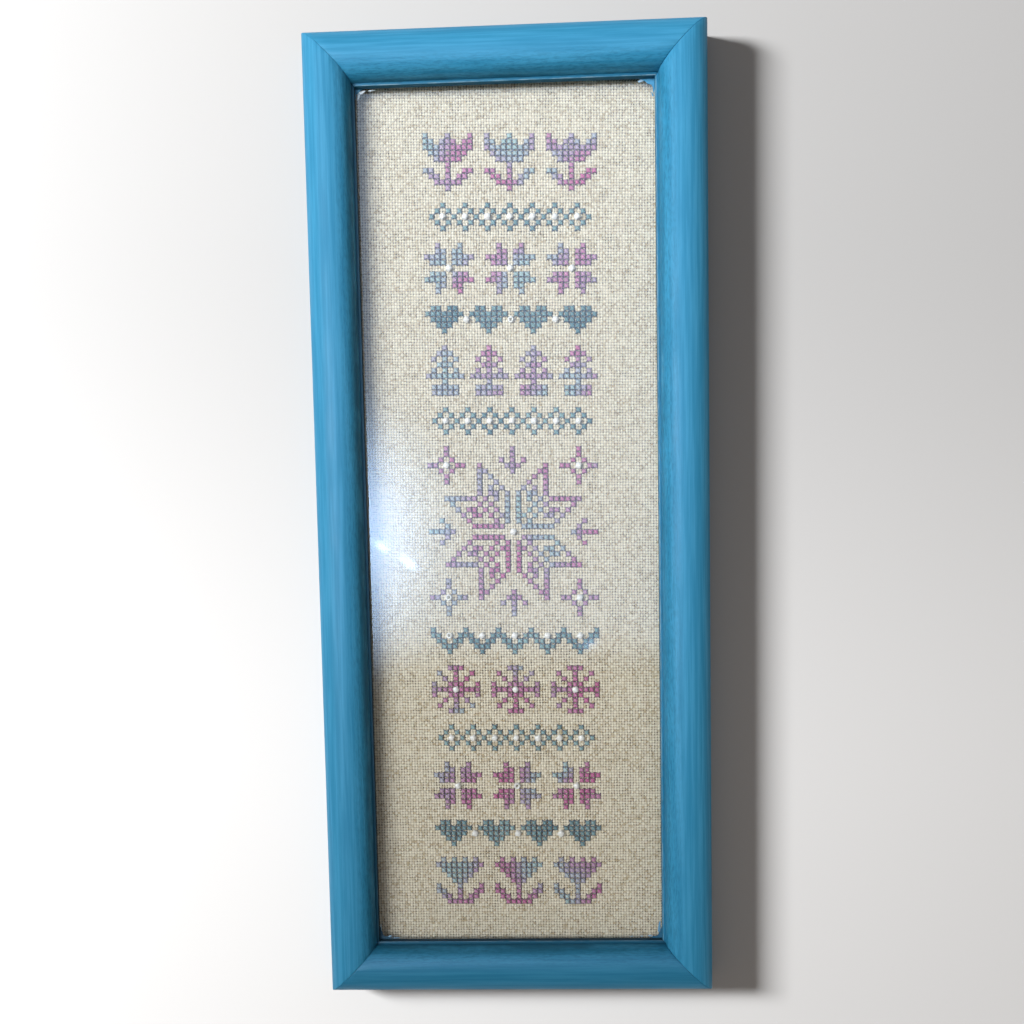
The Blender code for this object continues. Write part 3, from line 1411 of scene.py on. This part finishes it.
    def skein(self, places: np.ndarray) -> np.ndarray:
        """Finds where on the dyed skein each stitch's thread comes from.

        The dye changes in uneven swells of four to nine millimetres a radian, so a few stitches next to
        each other are alike.

        Args:
            places: The stitches' places.

        Returns:
            A number from 0 to 1 for each.
        """
        x, y = places[:, 0] / MM, places[:, 1] / MM
        value = (np.sin(x / 5.1 + 1.3 * np.sin(y / 9.0)) + np.sin(y / 6.3 + 1.1 * np.sin(x / 7.0) + 0.7)
                 + 0.6 * np.sin((x - y) / 3.9 + 2.0))
        dice = np.random.RandomState(self.seed)
        return np.clip(0.5 + value / 4.2 + dice.normal(0, 0.035, len(x)), 0, 1)

    def build_floss(self, kind: Floss, finish: CottonFloss, cells: list[tuple[int, int]]) -> bpy.types.Object:
        """Works all the stitches of one thread.

        Args:
            kind: The thread.
            finish: How it looks.
            cells: The squares of the chart that it fills.

        Returns:
            The stitches, as one piece.
        """
        dice = np.random.RandomState(self.seed + ord(kind.value))
        places = self.places_of(cells, self.level)
        count = len(places)
        turns = np.stack([dice.normal(0, spread, count) for spread in self.hand_turns], axis=1)
        sizes = 1 + dice.normal(0, self.hand_size, (count, 3))
        sizes[:, 2] += dice.uniform(-0.1, 0.15, count)
        piece = self.strew(self.model_cross(), f"stitches_{kind.name.lower()}", places, turns, sizes,
                           self.skein(places))
        finish_with(piece, finish.material())
        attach(piece, "root")
        report(piece)
        return piece

    def build_beads(self, cells: list[tuple[int, int]]) -> bpy.types.Object:
        """Sews on the beads, most on their sides along a diagonal and a few with the hole up.

        Args:
            cells: The squares of the chart that they fill.

        Returns:
            The beads, as one piece.
        """
        dice = np.random.RandomState(self.seed + 1)
        count = len(cells)
        places = self.places_of(cells, self.level + self.bead_lift)
        upright = dice.uniform(size=count) < self.beads_upright
        turns = np.stack([
            np.where(upright, dice.normal(0, 0.15, count), math.pi / 2 + dice.normal(0, 0.12, count)),
            dice.normal(0, 0.1, count),
            math.pi / 4 + dice.normal(0, 0.35, count),
        ], axis=1)
        sizes = np.repeat(1 + dice.normal(0, 0.03, (count, 1)), 3, axis=1)
        piece = self.strew(self.model_bead(), "seed_beads", places, turns, sizes, np.zeros(count))
        finish_with(piece, PearlGlass().material())
        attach(piece, "root")
        report(piece)
        return piece

    def build(self) -> list[bpy.types.Object]:
        """Works the stitches of both threads and sews on the beads.

        Returns:
            The stitches of each thread, and the beads.
        """
        places = self.charted()
        dyed = CottonFloss("hand_dyed_floss", [
            (0.0, linear(194, 98, 144)), (0.36, linear(194, 130, 164)), (0.57, linear(184, 150, 178)),
            (0.74, linear(178, 184, 194)), (1.0, linear(164, 190, 188))])
        teal = CottonFloss("teal_floss", [(0.0, linear(84, 122, 126)), (1.0, linear(142, 174, 172))])
        return [
            self.build_floss(Floss.HAND_DYED, dyed, places["x"]),
            self.build_floss(Floss.TEAL, teal, places["t"]),
            self.build_beads(places["o"]),
        ]


@dataclass(frozen=True)
class SmearedPaint:
    """The frame's paint, smeared on glass: thick and dark blue in places, thin and pale in others, with
    painted shade in the dark bottom-left fill.
    """

    thick: Colour = linear(14, 62, 80)
    usual: Colour = linear(48, 136, 178)
    pale: Colour = linear(220, 232, 236)
    streak: Colour = linear(50, 116, 142)

    def material(self) -> bpy.types.Material:
        """Builds the material, which reads how pale each blot is.

        Returns:
            The material.
        """
        sketch = NodeSketch("smeared_paint")
        stops = [(0.0, self.thick), (0.3, self.usual), (1.0, self.pale)]
        colour = sketch.ramp(sketch.attribute("pale"), stops)
        thin = sketch.noise(sketch.place(), 1800.0, 3.0)
        colour = sketch.mix(sketch.span(thin, 0.4, 0.75, 0.0, 0.4), colour, self.streak)
        return sketch.finish(Base_Color=colour, Roughness=0.5)


@dataclass(frozen=True)
class Smear:
    """One blot of paint on the glass: its middle, length, width, angle and how pale it is."""

    middle: tuple[float, float]
    length: float
    width: float
    angle: float = 0.0
    pale: float = 1.0


@dataclass(frozen=True)
class CornerFill:
    """Paint that fills a corner of the opening: which corner, how far it reaches and how pale it is."""

    corner: tuple[int, int]
    reach: tuple[float, float]
    pale: float


@dataclass
class PaintSmears:
    """The paint that was left on the glass in its four corners. Blots and fills are in millimetres."""

    level: float
    half_width: float
    half_length: float
    height: float = 0.14 * MM
    under_lip: float = 0.4
    arc_steps: int = 9
    fills: tuple[CornerFill, ...] = (
        CornerFill((-1, 1), (3.0, 3.0), 0.34),
        CornerFill((1, 1), (5.2, 5.4), 0.32),
        # This fill's dark colour is painted shade as well as thick paint.
        CornerFill((-1, -1), (4.8, 4.4), 0.0),
        CornerFill((1, -1), (4.2, 4.2), 0.1),
    )
    blots: tuple[Smear, ...] = (
        Smear((-46.6, 136.9), 2.6, 0.8, 74.0, 0.9),
        Smear((-45.4, 138.3), 2.2, 0.9, 20.0, 1.0),
        Smear((-42.4, 138.75), 2.2, 0.34, 4.0, 0.95),
        Smear((43.2, 138.6), 1.8, 0.8, 10.0, 0.6),
        Smear((46.9, 134.4), 1.5, 0.5, -70.0, 0.4),
        Smear((-47.1, -135.2), 2.6, 0.32, 96.0, 0.75),
        Smear((-44.2, -138.3), 1.2, 0.7, 12.0, 0.5),
        Smear((-42.0, -138.9), 2.4, 0.3, 2.0, 0.45),
        Smear((46.7, -135.6), 4.2, 0.8, 84.0, 0.4),
        Smear((43.6, -138.5), 1.4, 0.5, 8.0, 0.6),
        Smear((40.8, -138.7), 1.0, 0.3, -6.0, 0.7),
        Smear((37.4, -138.7), 1.3, 0.26, 4.0, 0.7),
    )

    def model_fill(self, fill: CornerFill, seed: int) -> bpy.types.Object:
        """Models the paint in one corner, from the lips to an uneven hollow curve.

        Args:
            fill: The corner and its paint.
            seed: Picks the curve's unevenness.

        Returns:
            The paint.
        """
        deselect()
        bpy.ops.mesh.primitive_circle_add(vertices=self.arc_steps + 2, radius=1 * MM, fill_type="NGON")
        web = bpy.context.object
        across, up = fill.reach
        outline = [(self.under_lip, self.under_lip)]
        for step in range(self.arc_steps + 1):
            angle = math.pi / 2 * step / self.arc_steps
            dent = 1 + 0.05 * math.sin(7 * angle + seed) + 0.04 * math.sin(13 * angle + 2 * seed)
            outline.append((-across * (1 - dent * math.sin(angle)), -up * (1 - dent * math.cos(angle))))
        for vertex, (right, back) in zip(web.data.vertices, outline):
            vertex.co = (fill.corner[0] * (self.half_width + right * MM),
                         fill.corner[1] * (self.half_length + back * MM), self.level)
        apply_modifier(web, "SOLIDIFY", thickness=self.height * 0.9, offset=1.0)
        with edit_mode():
            face_outwards()
        points = points_of(web.data)
        points[:, 2] += self.level - points[:, 2].min()
        set_points(web.data, points)
        store(web.data, "pale", np.full(len(points), fill.pale))
        return web

    def model_blot(self, blot: Smear, seed: int) -> bpy.types.Object:
        """Models one blot as a low mound with an uneven rim.

        Args:
            blot: The blot's sizes.
            seed: Picks the rim's unevenness.

        Returns:
            The blot.
        """
        deselect()
        bpy.ops.mesh.primitive_uv_sphere_add(segments=20, ring_count=10, radius=0.5)
        mound = bpy.context.object
        points = points_of(mound.data)
        angle = np.arctan2(points[:, 1], points[:, 0])
        rim = 1 + 0.12 * np.sin(3 * angle + seed) + 0.08 * np.sin(5 * angle + 2 * seed)
        rim += 0.05 * np.sin(9 * angle)
        points[:, 0] *= rim * blot.length * MM
        points[:, 1] *= rim * blot.width * MM
        points[:, 2] = np.maximum(points[:, 2], 0.0) * 2 * self.height
        set_points(mound.data, points)
        store(mound.data, "pale", np.full(len(points), blot.pale))
        place = Matrix.Translation((blot.middle[0] * MM, blot.middle[1] * MM, self.level))
        mound.data.transform(place @ Matrix.Rotation(math.radians(blot.angle), 4, "Z"))
        return mound

    def build(self) -> None:
        """Makes all the blots and fills, joined."""
        mounds = [self.model_blot(blot, seed) for seed, blot in enumerate(self.blots)]
        mounds += [self.model_fill(fill, seed) for seed, fill in enumerate(self.fills)]
        smears = join(mounds, "paint_smears")
        bpy.ops.object.shade_smooth_by_angle(angle=math.radians(40))
        smears.data.materials.append(SmearedPaint().material())
        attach(smears, "root")
        report(smears)


@dataclass
class Glazing:
    """The pane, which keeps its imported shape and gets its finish."""

    def build(self) -> None:
        """Dresses the pane. It casts no shadow, so that the lamps light what lies behind it."""
        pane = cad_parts["glass_pane"]
        finish_with(pane, PictureGlass().material())
        pane.visible_shadow = False
        pane.visible_diffuse = False
        report(pane)


@dataclass
class Backing:
    """The card behind the linen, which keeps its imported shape."""

    def build(self) -> None:
        """Dresses the card."""
        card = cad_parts["backing_card"]
        finish_with(card, GreyCard().material())
        report(card)


@dataclass(frozen=True)
class Glow:
    """A soft oval of light on the reflected panel."""

    centre: tuple[float, float]
    radii: tuple[float, float]
    strength: float
    angle: float = 0.0


@dataclass
class SoftPanel:
    """What the glass reflects: a dim bright room above, and a window's glow at the left."""

    height: float = 0.606
    side: float = 1.4
    middle: float = 0.1
    room_edge: float = -0.112
    room_softness: float = 0.035
    room_strength: float = 2.3
    colour: Colour = (0.64, 0.96, 1.44)
    glows: tuple[Glow, ...] = (
        Glow((-0.217, 0.013), (0.170, 0.195), 28.0),
        Glow((-0.159, 0.001), (0.016, 0.008), 26.0, -34.0),
        Glow((-0.130, -0.017), (0.020, 0.0085), 22.0, -34.0),
        Glow((0.064, -0.109), (0.020, 0.012), 5.0, 25.0),
    )

    def oval(self, sketch: NodeSketch, glow: Glow) -> bpy.types.NodeSocket:
        """Draws one soft oval.

        Args:
            sketch: The panel's sketch.
            glow: The oval's sizes.

        Returns:
            Its strength, which falls off from its middle.
        """
        place = sketch.node("Mapping", {
            "Vector": sketch.own_place(),
            "Location": (*glow.centre, self.height),
            "Rotation": (0, 0, math.radians(glow.angle)),
            "Scale": (*glow.radii, 1),
        }, vector_type="TEXTURE").outputs["Vector"]
        ball = sketch.node("TexGradient", {"Vector": place}, gradient_type="QUADRATIC_SPHERE")
        return sketch.maths("MULTIPLY", ball.outputs["Fac"], glow.strength)

    def build(self) -> None:
        """Hangs the panel, which only reflections see."""
        deselect()
        bpy.ops.mesh.primitive_plane_add(size=self.side, location=(0, self.middle, self.height))
        panel = bpy.context.object
        panel.name = "soft_panel"
        bpy.ops.object.transform_apply(location=True, rotation=True, scale=True)
        sketch = NodeSketch("soft_panel")
        up = sketch.parts(sketch.own_place())["Y"]
        total = sketch.span(up, self.room_edge - self.room_softness, self.room_edge + self.room_softness,
                            0.0, self.room_strength)
        for glow in self.glows:
            total = sketch.maths("ADD", total, self.oval(sketch, glow))
        panel.data.materials.append(sketch.finish(
            Base_Color=(0, 0, 0), Specular_IOR_Level=0.0, Emission_Color=self.colour,
            Emission_Strength=total))
        panel.visible_camera = panel.visible_diffuse = False
        panel.visible_shadow = panel.visible_transmission = False


@dataclass(frozen=True)
class SoftLamp:
    """A square soft lamp: its place and aim, its side, its power in watts and its fan in degrees."""

    name: str
    place: Triple
    aim: Triple
    size: float
    power: float
    spread: float
    colour: Colour = (1.0, 1.0, 1.0)

    def build(self) -> bpy.types.Object:
        """Adds the lamp.

        Returns:
            The lamp.
        """
        data = bpy.data.lights.new(self.name, "AREA")
        data.size, data.energy, data.color = self.size, self.power, self.colour
        data.spread = math.radians(self.spread)
        lamp = bpy.data.objects.new(self.name, data)
        lamp.location = self.place
        lamp.rotation_euler = (Vector(self.aim) - Vector(self.place)).to_track_quat("-Z", "Y").to_euler()
        bpy.context.scene.collection.objects.link(lamp)
        return lamp


@dataclass
class Studio:
    """The pale floor, the soft light and the camera."""

    lens: float = 28.125
    shift: float = 88 / 1024
    eye: Triple = (7.4 * MM, -9.8 * MM, 268.9 * MM)
    tilt: Triple = (-0.0578, 0.0294, -0.0193)
    window: SoftLamp = SoftLamp("window", (-0.69, 0.27, 0.98), (0.0, 0.31, 0.0), 0.7, 3.25, 59,
                                (0.97, 0.99, 1.03))
    floor_lamp: SoftLamp = SoftLamp("floor_lamp", (-1.10, 0.32, 0.62), (0.0, 0.0, 0.0), 0.26, 60.0, 180)
    floor_size: float = 6.0
    lower_floor: Colour = (0.46, 0.46, 0.46)
    shaded_upper_floor: Colour = (0.36, 0.36, 0.36)
    room_light: Colour = (1.0, 0.89, 0.80)
    room_strength: float = 0.28

    def add_camera(self) -> None:
        """Sets the camera where the photograph was taken from."""
        data = bpy.data.cameras.new("camera")
        data.lens, data.shift_y = self.lens, self.shift
        data.clip_start = 0.01
        camera = bpy.data.objects.new("camera", data)
        camera.location, camera.rotation_euler = self.eye, Euler(self.tilt)
        bpy.context.scene.collection.objects.link(camera)
        bpy.context.scene.camera = camera

    def add_floor(self) -> bpy.types.Object:
        """Lays a plain pale floor, with painted shade that makes it darker past the frame's middle.

        Returns:
            The floor.
        """
        deselect()
        bpy.ops.mesh.primitive_plane_add(size=self.floor_size)
        floor = bpy.context.object
        floor.name = "pale_floor"
        sketch = NodeSketch("pale_floor")
        up = sketch.parts(sketch.own_place())["Y"]
        # Painted shade: the floor is darker past the frame's middle.
        tone = sketch.mix(sketch.span(up, -0.10, 0.10), self.lower_floor, self.shaded_upper_floor)
        floor.data.materials.append(sketch.finish(Base_Color=tone, Roughness=0.8, Specular_IOR_Level=0.1))
        return floor

    def part_light(self, floor: bpy.types.Object) -> None:
        """Adds both lamps, of which one lights the floor alone, and the other all but the floor.

        Args:
            floor: The floor.
        """
        for lamp, state in ((self.window, "EXCLUDE"), (self.floor_lamp, "INCLUDE")):
            receivers = bpy.data.collections.new(lamp.name + "_receivers")
            receivers.objects.link(floor)
            receivers.collection_objects[0].light_linking.link_state = state
            lamp.build().light_linking.receiver_collection = receivers

    def build(self) -> None:
        """Sets the camera, floor, lamps and background."""
        self.add_camera()
        self.part_light(self.add_floor())
        SoftPanel().build()
        world = bpy.data.worlds.new("room")
        world.use_nodes = True
        background = world.node_tree.nodes["Background"]
        background.inputs["Color"].default_value = (*self.room_light, 1.0)
        background.inputs["Strength"].default_value = self.room_strength
        bpy.context.scene.world = world
        bpy.context.scene.view_settings.view_transform = "Standard"


def main() -> None:
    """Builds every part of the sampler."""
    logging.basicConfig(level=logging.INFO, format="%(name)s: %(message)s")
    Studio().build()
    low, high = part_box("rail_right")
    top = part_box("rail_top")[1]
    Moulding(half_width=high.x, half_length=top.y, width=high.x - low.x, crown=high.z).build()
    cloth = Cloth()
    low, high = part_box("stitched_linen")
    weave = Weave(cloth, (high.x - low.x, high.y - low.y), high.z)
    ground, threads = weave.build()
    worked = Embroidery(cloth, weave.level + STITCH_CLEARANCE).build()
    Glazing().build()
    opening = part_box("rail_left")[1].x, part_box("rail_bottom")[1].y
    PaintSmears(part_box("glass_pane")[1].z + SMEAR_CLEARANCE, -opening[0], -opening[1]).build()
    Backing().build()


if __name__ == "__main__":
    main()
